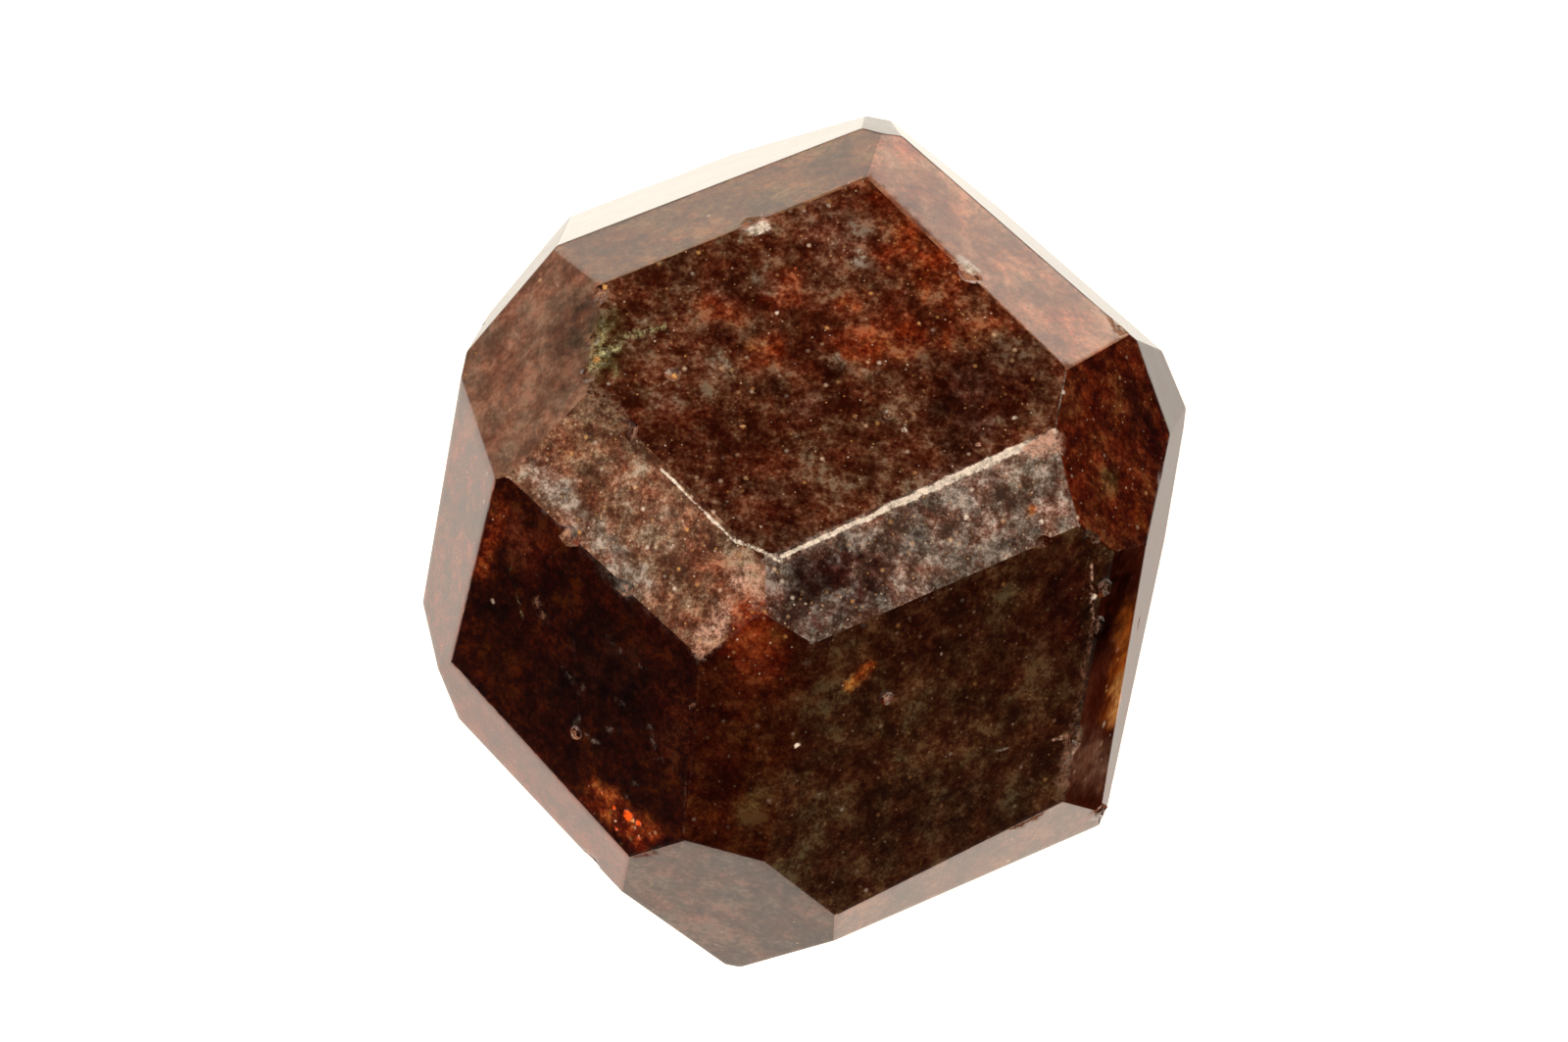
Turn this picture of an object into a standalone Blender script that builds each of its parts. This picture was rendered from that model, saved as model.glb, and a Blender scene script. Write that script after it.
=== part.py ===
"""Andradite garnet crystal: one loose crystal, grown on all sides, about 25 mm across.

The habit is the rhombic dodecahedron {110}. A strip of the trapezohedron {211} cuts off each of its
edges, and a small cube face {100} cuts off each corner where four of its faces would meet. The body
is what is left of a block when every crystal face has cut it. Then its edges are worn round, and
chips, pits and one small spur are fused into it.

The crystal lies on one dodecahedron face, with the opposite one level on top. Lengths are in
millimetres up to the last step, which turns them into metres. The origin is at the bottom centre.
"""

import math
from itertools import permutations, product

import bmesh
import bpy
from mathutils import Matrix, Vector, noise

MM = 0.001

# The block that the crystal is cut from, and how close two corners lie to count as one
BLOCK_MM = 40.0
CUT_TOLERANCE_MM = 1e-5
ONE_CORNER_MM = 0.02

# How far a face of each form lies from the middle of the crystal, where nothing else is said
DODECAHEDRON_MM = 11.8
TRAPEZOHEDRON_MM = 12.7
CUBE_MM = 13.4

# Growth was uneven: these faces, given by their indices, lie nearer to the middle or further out
GROWTH_MM = {
    (1, 1, 0): 10.95,     # level top face
    (1, 0, 1): 11.6,      # front, right of the ridge
    (0, 1, 1): 12.3,      # front, left of the ridge
    (1, -1, 0): 11.35,    # right side
    (-1, 1, 0): 11.75,    # left side
    (0, 1, -1): 12.25,    # back, upper left
    (1, 0, -1): 12.25,    # back, upper right
    (-1, 0, 1): 11.25,    # front, lower left
    (0, -1, 1): 11.95,    # front, lower right
    (-1, -1, 0): 11.4,    # underside, which it rests on
    (1, 2, 1): 12.45,     # rough strip, left of the top face
    (2, 1, 1): 12.1,      # rough strip, in front of the top face
    (1, 1, 2): 12.95,     # amber strip down the front
    (1, 2, -1): 12.5,
    (2, 1, -1): 12.6,
    (-1, 2, 1): 12.6,
    (-1, 1, 2): 12.95,
    (1, -1, 2): 12.9,
    (2, -1, 1): 12.5,
    (-1, 2, -1): 12.6,
    (2, -1, -1): 12.9,
    (-2, 1, 1): 12.15,
    (-2, 1, -1): 12.3,
    (-1, -1, 2): 13.75,
    (-1, 1, -2): 13.25,
    (1, 1, -2): 13.85,
    (1, -1, -2): 12.75,
    (1, -2, 1): 13.4,
    (1, -2, -1): 13.3,
    (-1, -2, -1): 12.5,
    (-2, -1, -1): 12.6,
    (0, 1, 0): 13.05,
    (1, 0, 0): 13.15,
    (0, 0, 1): 13.8,
    (0, 0, -1): 12.75,
    (0, -1, 0): 11.4,
}

# Many faces are vicinal, one to six degrees off the true index: the direction each really faces
VICINAL = {
    (1, 2, 1): (0.82, 2.01, 1.13),
    (2, 1, 1): (2.04, 1.03, 0.88),
    (1, 1, 2): (1.21, 0.90, 1.93),
    (1, 2, -1): (0.90, 2.02, -1.05),
    (2, 1, -1): (2.01, 0.97, -1.00),
    (-1, 2, 1): (-1.11, 2.05, 0.75),
    (-1, 1, 2): (-1.01, 1.12, 1.93),
    (1, -1, 2): (1.15, -1.09, 1.87),
    (2, -1, 1): (1.99, -0.95, 1.06),
    (-1, 2, -1): (-0.97, 2.04, -0.95),
    (-2, 1, 1): (-2.02, 1.00, 0.96),
    (1, 0, 1): (1.04, -0.05, 0.96),
    (0, 1, 1): (-0.02, 1.00, 1.00),
    (0, 1, -1): (0.01, 1.02, -0.98),
    (1, 0, -1): (0.93, -0.06, -1.06),
    (-1, 0, 1): (-1.07, 0.00, 0.93),
    (0, -1, 1): (0.01, -1.04, 0.96),
    (0, 1, 0): (0.01, 1.00, 0.05),
    (1, 0, 0): (1.00, -0.05, -0.02),
}

# The crystal's own axes as the object lies: a row of the matrix is one axis of the object
ROOT_HALF = math.sqrt(0.5)
LIE = Matrix(((ROOT_HALF, -ROOT_HALF, 0.0),
              (0.0, 0.0, -1.0),
              (ROOT_HALF, ROOT_HALF, 0.0)))

# Rounding of the edges: fresh all over, and worn or overgrown along the edges that are named
EDGE_FRESH_MM = 0.09
EDGE_WORN_MM = {
    ((1, 1, 0), (2, 1, 1)): 0.30,
    ((1, 1, 0), (1, 2, 1)): 0.20,
    ((1, 2, 1), (2, 1, 1)): 0.35,
    ((1, 2, 1), (1, 1, 2)): 0.22,
    ((2, 1, 1), (1, 1, 2)): 0.22,
    ((1, 0, 1), (2, -1, 1)): 0.24,
    ((0, 1, 0), (1, 2, 1)): 0.18,
    ((-1, -1, 0), (-1, -2, -1)): 0.22,
    ((-1, -1, 0), (-2, -1, 1)): 0.18,
    ((0, -1, -1), (1, -1, -2)): 0.25,
    ((-1, 0, -1), (-2, -1, -1)): 0.25,
}
EDGE_STEPS = 3

# Chips on edges and corners: the faces that meet there, how far along the edge, then the scoop's
# radius and how deep it bites
CHIPS = [
    (((1, 1, 0), (1, 2, 1)), 0.22, 0.9, 0.16),
    (((1, 1, 0), (0, 1, 0)), 0.08, 0.6, 0.17),
    (((1, 1, 0), (0, 1, 0)), 0.50, 0.45, 0.12),
    (((1, 1, 0), (0, 1, 0)), 0.83, 0.55, 0.17),
    (((1, 1, 0), (1, 2, -1)), 0.57, 0.7, 0.14),
    (((1, 1, 0), (2, 1, -1)), 0.50, 0.7, 0.14),
    (((0, 1, 1), (1, 2, 1)), 0.33, 0.7, 0.16),
    (((0, 1, 1), (1, 2, 1)), 0.62, 0.6, 0.13),
    (((1, 0, 1), (2, -1, 1)), 0.25, 0.8, 0.18),
    (((1, 0, 1), (2, -1, 1)), 0.70, 0.6, 0.14),
    (((1, 0, 1), (2, -1, 1)), 0.85, 0.6, 0.16),
    (((1, 0, 0), (1, 0, 1)), 0.60, 0.5, 0.14),
    (((1, 0, 0), (1, -1, 0)), 0.40, 0.6, 0.12),
    (((2, 1, -1), (1, 0, -1)), 0.04, 0.5, 0.13),
    (((2, 1, 1), (1, 0, 1)), 0.15, 0.6, 0.12),
    (((-1, 1, 2), (-1, 0, 1)), 0.18, 0.7, 0.14),
    (((0, -1, 0), (0, -1, -1)), 0.50, 1.1, 0.28),
    (((-1, 0, -1), (-2, -1, -1)), 0.40, 1.2, 0.25),
    (((0, -1, -1), (1, -1, -2)), 0.55, 1.0, 0.22),
    (((-1, 1, 0), (-1, 2, -1)), 0.35, 0.8, 0.18),
    (((-1, 0, 0), (-2, 1, -1)), 0.50, 0.9, 0.22),
]
CHIP_FLATTEN = 0.8

# Shallow pits: the face that holds each, its place across and along the face, and its radius
PITS = [
    ((1, 1, 0), -4.75, -1.25, 0.30),
    ((1, 1, 0), 2.4, -1.2, 0.24),
    ((1, 0, 1), -1.8, 1.6, 0.28),
    ((0, 1, 1), 1.2, -2.2, 0.26),
    ((0, -1, -1), 1.5, 2.0, 0.40),
    ((-1, 0, -1), -2.2, -1.0, 0.34),
    ((-1, 1, 0), 1.0, 1.8, 0.30),
    ((1, -1, 0), -1.4, 0.9, 0.28),
]
PIT_FLATTEN = 0.6
PIT_DEPTH = 0.35

# Low growth layers on the far side: the face, the layer's size as a share of that face, how far it
# lies off the middle of the face, and how far it stands proud
LAYERS = [
    ((0, -1, -1), 0.62, -0.6, -0.9, 0.09),
    ((-1, 0, -1), 0.55, 0.9, 0.8, 0.08),
    ((-1, 1, 0), 0.58, -0.4, -1.0, 0.07),
    ((-1, 0, 1), 0.42, -1.3, -1.2, 0.06),
]
LAYER_ROOT_MM = 0.5
LAYER_TAPER = 0.985

# The spur at the lower right corner, where a scrap of a neighbour once held on
SPUR_FACES = ((1, -1, 0), (1, -1, 2), (2, -1, 1))
SPUR_RADIUS_MM = 0.28
SPUR_SUNK_MM = 0.12
SPUR_FLATTEN = 0.8

# How rough the scoops, the dishes and the spur are: the share of the radius, and lumps per radius
CHIP_ROUGHNESS = 0.24
SPUR_ROUGHNESS = 0.4
LUMPS_PER_RADIUS = 1.6

# One seed for each kind, so that no two lumps are alike
CHIP_SEED = 110
PIT_SEED = 160
SPUR_SEED = 200

# Brown andradite: dark, glassy and almost opaque
GARNET_COLOR = (0.060, 0.018, 0.010, 1.0)
GARNET_ROUGHNESS = 0.28
GARNET_IOR = 1.89


def unit(direction):
    return Vector(direction).normalized()


def form(*indices):
    """Every face of one form: all orders and all signs of its indices."""
    faces = set()
    for order in permutations(indices):
        for signs in product((1, -1), repeat=3):
            faces.add(tuple(i * s for i, s in zip(order, signs)))
    return sorted(faces)


def crystal_faces():
    """Indices of each face with the direction it faces, as the crystal lies, and its distance."""
    faces = {}
    for indices, distance in ((form(1, 1, 0), DODECAHEDRON_MM),
                              (form(2, 1, 1), TRAPEZOHEDRON_MM),
                              (form(1, 0, 0), CUBE_MM)):
        for face in indices:
            normal = LIE @ unit(VICINAL.get(face, face))
            faces[face] = (normal, GROWTH_MM.get(face, distance))
    return faces


def cut_body(faces):
    """Saw a block along every crystal face and close each cut."""
    bm = bmesh.new()
    bmesh.ops.create_cube(bm, size=BLOCK_MM)
    for normal, distance in faces.values():
        cut = bmesh.ops.bisect_plane(
            bm, geom=bm.verts[:] + bm.edges[:] + bm.faces[:], dist=CUT_TOLERANCE_MM,
            plane_co=normal * distance, plane_no=normal, clear_outer=True)
        rim = [part for part in cut["geom_cut"] if isinstance(part, bmesh.types.BMEdge)]
        if rim:
            bmesh.ops.contextual_create(bm, geom=rim)
    bmesh.ops.remove_doubles(bm, verts=bm.verts, dist=ONE_CORNER_MM)
    bmesh.ops.recalc_face_normals(bm, faces=bm.faces)
    return bm


def mark_faces(bm, faces):
    """Look up which polygon each crystal face became; a face that grew out of sight has none."""
    return {max(faces, key=lambda face: polygon.normal.dot(faces[face][0])): polygon
            for polygon in bm.faces}


def shared_edge(found, face_a, face_b):
    """The edge where two crystal faces meet."""
    for edge in found[face_a].edges:
        if found[face_b] in edge.link_faces:
            return edge
    raise ValueError(f"faces {face_a} and {face_b} do not meet")


def nearest_corner(bm, faces, corner_faces):
    """The corner that comes nearest to the meeting point of three crystal faces."""
    def gap(vert):
        return sum(abs(vert.co.dot(faces[face][0]) - faces[face][1]) for face in corner_faces)
    return min(bm.verts, key=gap)


def face_axes(normal):
    """Two directions in a face: one level, and one down its slope."""
    across = Vector((0.0, 0.0, 1.0)).cross(normal)
    if across.length < 0.1:
        across = Vector((1.0, 0.0, 0.0))
    across.normalize()
    return across, normal.cross(across)


def lump(bm, centre, radius, flatten, normal, roughness, seed):
    """A rough ball, pressed flat along a direction, as a tool for chips, pits and the spur."""
    made = bmesh.ops.create_icosphere(bm, subdivisions=2, radius=radius)
    press = Matrix.Scale(flatten, 3, normal)
    for vert in made["verts"]:
        offset = noise.noise(vert.co * (LUMPS_PER_RADIUS / radius) + Vector((seed, 0.0, 0.0)))
        vert.co = press @ (vert.co * (1.0 + roughness * offset)) + centre


def chip_tools(bm, faces, found):
    """Scoops that bite into the edges."""
    for number, (pair, along, radius, depth) in enumerate(CHIPS):
        edge = shared_edge(found, *pair)
        low, high = sorted((vert.co.copy() for vert in edge.verts), key=lambda co: (co.z, co.x))
        outward = (faces[pair[0]][0] + faces[pair[1]][0]).normalized()
        centre = low.lerp(high, along) + outward * (radius * CHIP_FLATTEN - depth)
        lump(bm, centre, radius, CHIP_FLATTEN, outward, CHIP_ROUGHNESS, CHIP_SEED + number)


def pit_tools(bm, faces, found):
    """Shallow dishes in the broad faces."""
    for number, (face, across_mm, along_mm, radius) in enumerate(PITS):
        normal = faces[face][0]
        across, along = face_axes(normal)
        centre = found[face].calc_center_median() + across * across_mm + along * along_mm
        centre += normal * radius * (PIT_FLATTEN - PIT_DEPTH)
        lump(bm, centre, radius, PIT_FLATTEN, normal, CHIP_ROUGHNESS, PIT_SEED + number)


def layer_shapes(bm, faces, found):
    """Thin flat layers, each with the outline of the face that it grew on."""
    for face, share, across_mm, along_mm, height in LAYERS:
        normal = faces[face][0]
        across, along = face_axes(normal)
        centre = found[face].calc_center_median()
        middle = centre + across * across_mm + along * along_mm - normal * LAYER_ROOT_MM
        rim = [bm.verts.new(middle + (vert.co - centre) * share) for vert in found[face].verts]
        raised = bmesh.ops.extrude_face_region(bm, geom=[bm.faces.new(rim)])
        top = [part for part in raised["geom"] if isinstance(part, bmesh.types.BMVert)]
        for vert in top:
            vert.co = middle + (vert.co - middle) * LAYER_TAPER + normal * (LAYER_ROOT_MM + height)
    bmesh.ops.recalc_face_normals(bm, faces=bm.faces)


def add_object(name, bm, shift):
    """Close a mesh that was drawn in millimetres and put it in the scene in metres."""
    bmesh.ops.translate(bm, verts=bm.verts, vec=shift)
    bmesh.ops.scale(bm, verts=bm.verts, vec=(MM, MM, MM))
    mesh = bpy.data.meshes.new(name)
    bm.to_mesh(mesh)
    bm.free()
    obj = bpy.data.objects.new(name, mesh)
    bpy.context.scene.collection.objects.link(obj)
    return obj


def add_tool(obj, tool, operation):
    """Let a hidden shape cut or join the crystal."""
    tool.hide_render = True
    tool.display_type = "WIRE"
    step = obj.modifiers.new(tool.name, "BOOLEAN")
    step.operation = operation
    step.solver = "EXACT"
    step.object = tool


def garnet_material():
    material = bpy.data.materials.new("andradite_garnet")
    material.use_nodes = True
    shader = material.node_tree.nodes["Principled BSDF"]
    shader.inputs["Base Color"].default_value = GARNET_COLOR
    shader.inputs["Roughness"].default_value = GARNET_ROUGHNESS
    shader.inputs["Metallic"].default_value = 0.0
    shader.inputs["IOR"].default_value = GARNET_IOR
    return material


def build_crystal():
    faces = crystal_faces()
    body = cut_body(faces)
    found = mark_faces(body, faces)

    chips = bmesh.new()
    chip_tools(chips, faces, found)
    pit_tools(chips, faces, found)
    layers = bmesh.new()
    layer_shapes(layers, faces, found)
    spur = bmesh.new()
    corner = nearest_corner(body, faces, SPUR_FACES).co
    lump(spur, corner - corner.normalized() * SPUR_SUNK_MM, SPUR_RADIUS_MM, SPUR_FLATTEN,
         corner.normalized(), SPUR_ROUGHNESS, SPUR_SEED)

    wear = body.edges.layers.float.new("bevel_weight_edge")
    widest = max(EDGE_WORN_MM.values())
    for edge in body.edges:
        edge[wear] = EDGE_FRESH_MM / widest
    for pair, width in EDGE_WORN_MM.items():
        shared_edge(found, *pair)[wear] = width / widest

    solids = body.verts[:] + layers.verts[:] + spur.verts[:]
    lows = [min(vert.co[axis] for vert in solids) for axis in range(3)]
    highs = [max(vert.co[axis] for vert in solids) for axis in range(3)]
    shift = Vector((-(lows[0] + highs[0]) / 2.0, -(lows[1] + highs[1]) / 2.0, -lows[2]))

    crystal = add_object("garnet_crystal", body, shift)
    rounding = crystal.modifiers.new("worn edges", "BEVEL")
    rounding.limit_method = "WEIGHT"
    rounding.width = widest * MM
    rounding.segments = EDGE_STEPS
    rounding.profile = 0.5
    rounding.use_clamp_overlap = False
    add_tool(crystal, add_object("growth_layers", layers, shift), "UNION")
    add_tool(crystal, add_object("spur", spur, shift), "UNION")
    add_tool(crystal, add_object("chips_and_pits", chips, shift), "DIFFERENCE")
    crystal.data.materials.append(garnet_material())


for old in list(bpy.data.objects):
    bpy.data.objects.remove(old, do_unlink=True)
build_crystal()
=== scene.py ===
"""Looks of an andradite garnet crystal: one loose crystal, about 25 mm across, on a pale floor."""

import math
from itertools import permutations, product

import bmesh
import bpy
import numpy as np
from mathutils import Matrix, Vector, noise


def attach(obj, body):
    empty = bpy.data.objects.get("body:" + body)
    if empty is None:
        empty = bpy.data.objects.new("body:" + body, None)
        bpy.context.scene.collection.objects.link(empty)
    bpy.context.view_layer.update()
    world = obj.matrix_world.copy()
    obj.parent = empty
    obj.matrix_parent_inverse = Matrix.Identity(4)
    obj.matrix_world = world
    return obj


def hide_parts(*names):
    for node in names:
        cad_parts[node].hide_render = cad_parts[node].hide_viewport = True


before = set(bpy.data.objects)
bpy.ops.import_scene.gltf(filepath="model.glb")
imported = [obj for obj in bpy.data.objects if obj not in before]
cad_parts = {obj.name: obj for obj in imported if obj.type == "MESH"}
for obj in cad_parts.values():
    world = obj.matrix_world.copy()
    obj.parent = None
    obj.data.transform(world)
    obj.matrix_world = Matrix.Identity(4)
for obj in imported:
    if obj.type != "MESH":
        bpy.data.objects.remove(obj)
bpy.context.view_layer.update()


# The crystal is one natural crystal of andradite, an iron garnet: hard, glassy, dark red-brown and
# almost opaque. It grew on all sides as one piece, so it is one closed surface. It starts as a copy of
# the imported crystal, which is cut finer where the real faces are rough, and then roughened and coloured.

MM = 0.001
MERGE_MM = 0.002            # corners nearer than this are one corner
FLAT_DEG = 0.25             # triangles that turn less than this are one face
SHARP_DEG = 40.0            # edges that turn more than this are sharp
VICINAL_DEG = 9.0           # a face may lie this far off its true direction
LEAST_FACE_MM2 = 1.0        # anything smaller is no face but a chip
BROAD_SHARE = 0.25          # polygons are broad from this share of the widest one's area
COS_FLAT = math.cos(math.radians(FLAT_DEG))
COS_VICINAL = math.cos(math.radians(VICINAL_DEG))

# The crystal's own axes as it lies: a row is one axis of the object
LIE = Matrix(((math.sqrt(0.5), -math.sqrt(0.5), 0.0),
              (0.0, 0.0, -1.0),
              (math.sqrt(0.5), math.sqrt(0.5), 0.0)))

# Each face's finish, its body colour, and how strongly it is mottled. A dull face has fine growth marks,
# a striated one has them in lines, a satin or a bright one is smooth, and the strips beside the top
# face are etched. The etched strips' pale body is partly painted sheen: the light their fine bumps scatter.
DULL, STRIATED, SATIN, BRIGHT, ETCHED, MATT = range(6)
FACES = {
    (1, 1, 0): (DULL, "562b19", 1.0),
    (1, 0, 1): (DULL, "3b1e0d", 0.85),
    (0, 1, 1): (DULL, "220400", 1.0),
    (1, 1, 2): (DULL, "331003", 0.8),
    (1, 0, 0): (DULL, "5e1e08", 1.0),
    (2, -1, 1): (STRIATED, "42180c", 0.45),
    # Etched strips: a pale body, partly painted sheen of the light that the fine bumps scatter
    (1, 2, 1): (ETCHED, "744c36", 1.0),
    (2, 1, 1): (ETCHED, "7a6052", 1.1),
    (0, 1, 0): (SATIN, "865b45", 0.75),
    (0, 0, 1): (MATT, "56392c", 0.9),
    (1, 2, -1): (SATIN, "8a5d3a", 0.8),
    (2, 1, -1): (BRIGHT, "c47e5a", 0.6),
    (0, 1, -1): (BRIGHT, "6e3a22", 0.5),
    (1, 0, -1): (BRIGHT, "6e3a22", 0.5),
    (1, -1, 2): (BRIGHT, "7c482c", 0.6),
    (-1, 2, 1): (SATIN, "6e321a", 1.0),
    (-1, 1, 2): (SATIN, "6a301a", 0.7),
    (1, -1, 0): (MATT, "5e2c1a", 0.8),
    (2, -1, -1): (MATT, "5e2c1a", 0.5),
}
OTHER_FACES = (SATIN, "5e2c18", 0.8)

# How fine each finish is cut, and how high its relief is. The relief is as wide as the coarser
# growth marks, four or five to a millimetre.
FINENESS_MM = {DULL: 0.24, STRIATED: 0.24, SATIN: 0.5, BRIGHT: 0.5, ETCHED: 0.14, MATT: 0.5}
RELIEF_MM = {DULL: 0.005, STRIATED: 0.004, SATIN: 0.0, BRIGHT: 0.0, ETCHED: 0.016, MATT: 0.0}
RELIEF_PER_MM = 4.5

# The colours seen in and on the crystal: clear garnet from black to honey, inclusions, and pale powder
# where the surface is crushed. Ember is painted glow, orange light shining out through the crystal, and
# honey and amber also paint a glint on the face (2, -1, 1).
TINTS = {
    "night": "110201", "maroon": "2c0802", "oxblood": "431206", "bark": "321406", "umber": "3c2413",
    "rust": "7a2a0c", "amber": "9c4c18", "honey": "e6a35c", "ember": "ff5a18", "mauve": "6b4839",
    "clay": "966852", "olive": "5a4f28", "moss": "d2c68e", "smoke": "8a7c70", "tan": "8a6c54",
    "cream": "ffe8d0", "blush": "d9a48a",
}

# Stains in the body: the tint, from where to where, and how wide to each side in millimetres, and how
# strong. A stain that starts and ends at one place is round. The ember ones are painted glow, and the
# amber and honey streak on the face (2, -1, 1) is a painted glint: light shining out through the crystal.
STAINS_AND_PAINTED_GLOWS = [
    ("mauve", (-0.2, 6.3, 22.4), (-0.2, 6.3, 22.4), 1.1, 0.3),
    ("rust", (2.3, 6.2, 22.3), (3.3, 5.0, 22.3), 1.2, 0.8),
    ("rust", (2.2, 8.2, 22.3), (1.0, 7.5, 22.4), 0.9, 0.8),
    ("rust", (-1.8, 3.6, 22.3), (-1.6, 3.5, 22.3), 0.6, 0.5),
    ("rust", (-3.9, 2.3, 22.3), (-3.2, 2.2, 22.3), 0.5, 0.6),
    ("rust", (-2.4, 0.9, 22.3), (-1.8, 1.2, 22.3), 0.5, 0.9),
    ("maroon", (-3.6, 1.4, 22.3), (-2.9, 1.2, 22.3), 0.4, 0.9),
    ("night", (-1.4, -0.1, 22.3), (-1.2, -0.2, 22.3), 0.5, 0.7),
    ("rust", (0.6, 3.5, 22.3), (0.6, 3.5, 22.3), 0.45, 0.7),
    ("rust", (1.2, 1.9, 22.3), (2.4, 2.5, 22.3), 0.8, 0.7),
    ("maroon", (1.0, 4.7, 22.3), (1.0, 4.7, 22.3), 0.5, 0.8),
    ("night", (0.6, 1.0, 22.3), (0.6, 1.0, 22.3), 0.45, 0.7),
    ("night", (3.9, 2.4, 22.3), (4.2, 0.3, 22.3), 0.7, 0.65),
    ("night", (5.5, -0.4, 22.3), (4.9, -0.9, 22.3), 0.45, 0.7),
    ("rust", (4.1, 3.0, 22.3), (4.9, 3.7, 22.3), 0.7, 0.5),
    ("maroon", (6.8, 2.2, 22.3), (5.4, 1.4, 22.3), 1.2, 0.7),
    ("mauve", (5.0, 1.1, 22.3), (5.4, 0.1, 22.3), 0.6, 0.35),
    ("tan", (-2.4, 3.7, 22.3), (-2.2, 3.6, 22.3), 0.3, 0.35),
    ("tan", (-3.8, 3.1, 22.3), (-3.4, 2.9, 22.3), 0.3, 0.3),
    ("tan", (0.2, 1.3, 22.3), (0.5, 1.2, 22.3), 0.25, 0.4),
    ("tan", (0.5, 5.2, 22.3), (0.5, 5.2, 22.3), 0.3, 0.4),
    ("tan", (-3.4, 0.4, 22.3), (-3.0, 0.3, 22.3), 0.3, 0.2),
    ("tan", (-4.7, -1.6, 22.3), (-4.3, -1.4, 22.3), 0.3, 0.25),
    ("mauve", (-0.1, -0.8, 22.3), (0.1, -0.5, 22.3), 0.4, 0.6),
    ("olive", (-7.1, 0.9, 22.3), (-6.9, -0.6, 22.3), 0.5, 0.6),
    ("maroon", (-3.0, -3.3, 22.3), (-1.5, -4.5, 22.3), 1.2, 0.6),
    ("maroon", (-0.3, -5.4, 22.3), (-0.3, -5.0, 22.3), 1.0, 0.6),
    ("umber", (-1.4, -1.1, 22.3), (1.4, -1.1, 22.3), 1.2, 0.4),
    ("maroon", (6.1, -5.6, 19.9), (4.4, -6.3, 20.2), 1.0, 0.5),
    ("maroon", (9.0, -3.4, 19.4), (9.3, -4.6, 17.8), 1.2, 0.9),
    ("amber", (3.6, -7.9, 19.4), (3.0, -8.7, 19.0), 0.14, 0.9),
    ("night", (4.2, -11.3, 14.1), (7.8, -9.0, 13.4), 1.4, 0.45),
    ("bark", (1.7, -9.2, 19.7), (1.3, -12.5, 15.7), 1.0, 0.9),
    ("oxblood", (-9.0, -5.2, 18.7), (-8.2, -6.0, 19.0), 0.9, 0.6),
    ("rust", (-9.4, -4.7, 19.1), (-9.6, -6.0, 17.0), 0.3, 0.5),
    ("night", (-4.3, -9.1, 18.1), (-5.5, -9.0, 17.0), 1.5, 0.8),
    ("rust", (-4.5, -11.8, 13.9), (-2.9, -12.9, 14.0), 0.6, 0.8),
    ("maroon", (-2.3, -10.7, 17.8), (-2.3, -10.7, 17.8), 1.2, 0.6),
    ("rust", (-0.6, -8.1, 21.3), (0.0, -9.0, 20.4), 0.8, 1.0),
    ("oxblood", (0.4, -9.2, 20.1), (-0.4, -8.9, 20.4), 0.7, 0.8),
    ("maroon", (-0.9, -9.8, 19.4), (-1.0, -11.5, 17.0), 0.7, 0.8),
    ("olive", (0.5, -12.2, 16.2), (0.6, -12.0, 16.5), 0.4, 0.12),
    ("smoke", (-8.4, -3.8, 20.6), (-4.4, -7.2, 20.4), 0.45, 0.5),
    ("mauve", (-4.4, -7.2, 20.4), (-2.5, -8.5, 20.4), 0.3, 0.5),
    ("clay", (-5.4, -3.9, 21.8), (-3.3, -6.2, 21.4), 0.8, 0.4),
    ("rust", (-2.2, -6.8, 21.7), (-1.5, -7.2, 21.6), 0.6, 0.35),
    ("maroon", (0.8, -7.3, 21.6), (2.4, -6.5, 21.5), 1.1, 0.95),
    ("maroon", (1.2, -6.3, 21.8), (2.8, -5.6, 21.7), 0.8, 0.9),
    ("smoke", (5.4, -2.4, 22.0), (4.2, -3.8, 21.9), 0.7, 0.3),
    ("tan", (7.6, -1.2, 21.9), (7.2, -1.4, 21.8), 0.5, 0.6),
    ("amber", (7.7, -2.3, 21.4), (7.7, -2.3, 21.4), 0.16, 0.9),
    ("night", (8.0, -2.9, 21.1), (6.8, -3.8, 21.0), 0.2, 0.7),
    ("clay", (-10.0, 3.3, 19.9), (-10.3, 1.6, 19.5), 0.9, 0.6),
    ("umber", (-7.9, -0.8, 21.7), (-7.9, 1.6, 21.8), 0.9, 0.7),
    ("rust", (9.0, 1.6, 21.2), (9.0, 0.4, 21.2), 0.45, 0.8),
    ("maroon", (10.8, 2.3, 19.2), (10.4, 3.4, 19.8), 0.8, 0.8),
    ("olive", (10.0, 0.0, 20.2), (10.0, 0.0, 20.2), 0.4, 0.6),
    ("amber", (11.3, -0.7, 18.7), (11.1, -0.3, 19.0), 0.26, 0.8),
    ("night", (10.9, -2.6, 18.3), (10.6, -3.9, 17.0), 0.9, 0.9),
    # Painted glint: golden light shining out through the crystal along the face (2, -1, 1)
    ("amber", (11.4, -2.7, 16.4), (11.5, -4.7, 13.6), 0.55, 1.0),
    ("honey", (11.4, -4.2, 14.3), (11.5, -4.8, 13.4), 0.32, 1.0),
    ("clay", (10.7, -6.6, 13.0), (11.2, -6.0, 12.0), 0.8, 0.5),
    ("rust", (-0.3, 8.1, 22.2), (0.6, 8.3, 22.0), 0.35, 0.6),
    # Painted glow: orange light shining out through the crystal
    ("ember", (1.2, 10.4, 21.0), (1.2, 10.0, 21.2), 0.4, 0.22),
    ("ember", (7.3, 5.2, 21.3), (7.9, 4.3, 21.5), 0.4, 0.22),
]
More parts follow.
